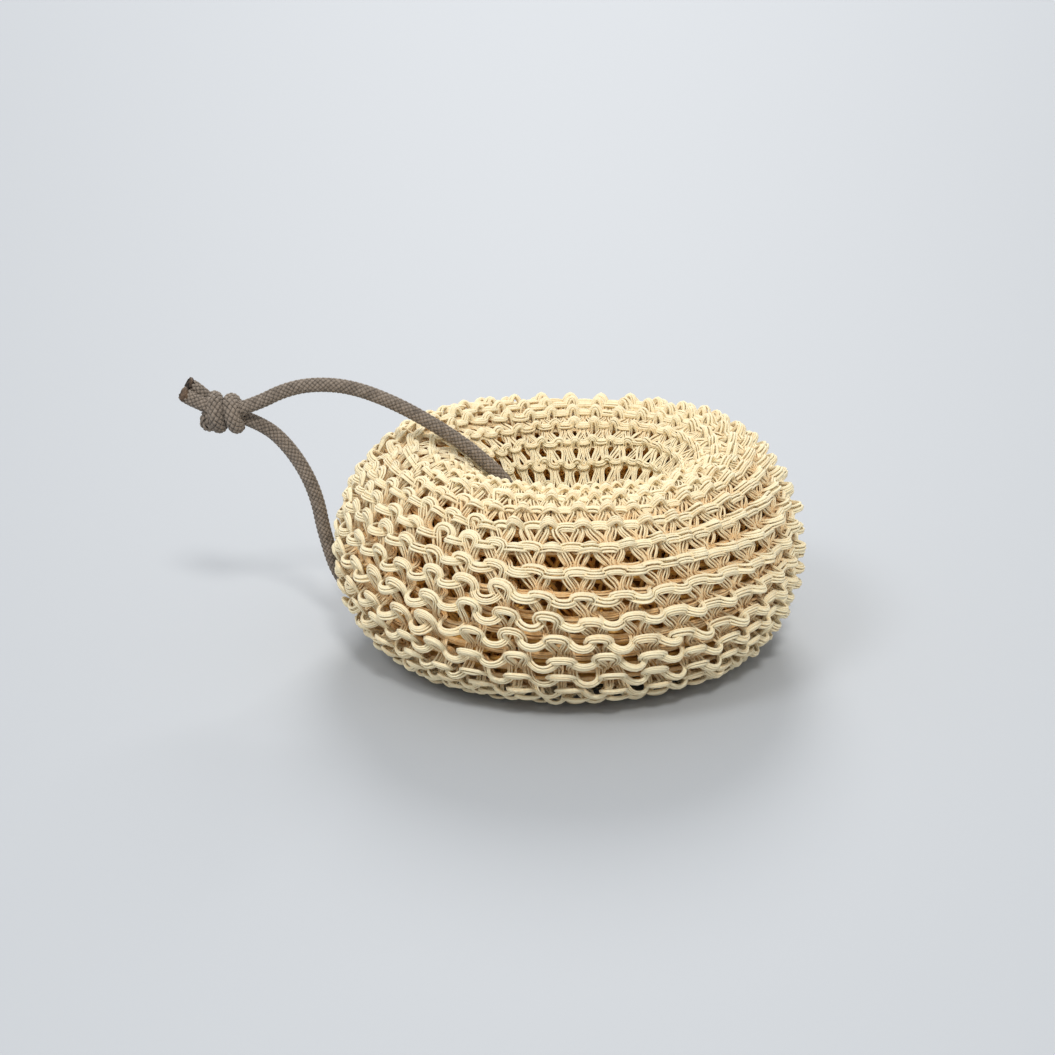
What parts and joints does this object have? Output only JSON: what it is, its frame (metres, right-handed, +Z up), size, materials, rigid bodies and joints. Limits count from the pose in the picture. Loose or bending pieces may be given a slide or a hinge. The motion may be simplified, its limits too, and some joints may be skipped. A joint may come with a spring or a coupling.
{
  "type": "knitted bath scrubber",
  "caption": "Hand-size bath scrubber: a fat ring of garter-stitch knitting with an oval hole and a knotted loop of braided cord to hang it by.",
  "frame": {"origin": "centre of the ring's flat underside, where it rests on a surface", "axes": "+Z up out of the hole, -Y towards the front, +X to the right with the hanging cord on the -X side"},
  "size_m": [0.1384, 0.105, 0.0603],
  "materials": {
    "cream_knit": "matte",
    "inner_knit": "matte",
    "rolled_core": "matte",
    "sewing_yarn": "matte",
    "braided_cord": "matte",
    "sealed_end": "matte"
  },
  "bodies": {
    "scrubber": {"outer_knit_cover": "cream_knit", "inner_knit_turn": "inner_knit", "core_roll": "rolled_core", "closing_seam": "sewing_yarn"},
    "hang_loop": {"hang_cord": "braided_cord", "cord_knot": "braided_cord", "cord_tail_upper": "braided_cord", "cord_tail_lower": "braided_cord", "sealed_end_upper": "sealed_end", "sealed_end_lower": "sealed_end"}
  },
  "joints": [
    {"name": "loop_swing", "type": "hinge", "parent": "scrubber", "child": "hang_loop", "pos_m": [-0.0322, 0.002, 0.0235], "axis": [0, 1, 0], "range_deg": [0, 120]}
  ]
}
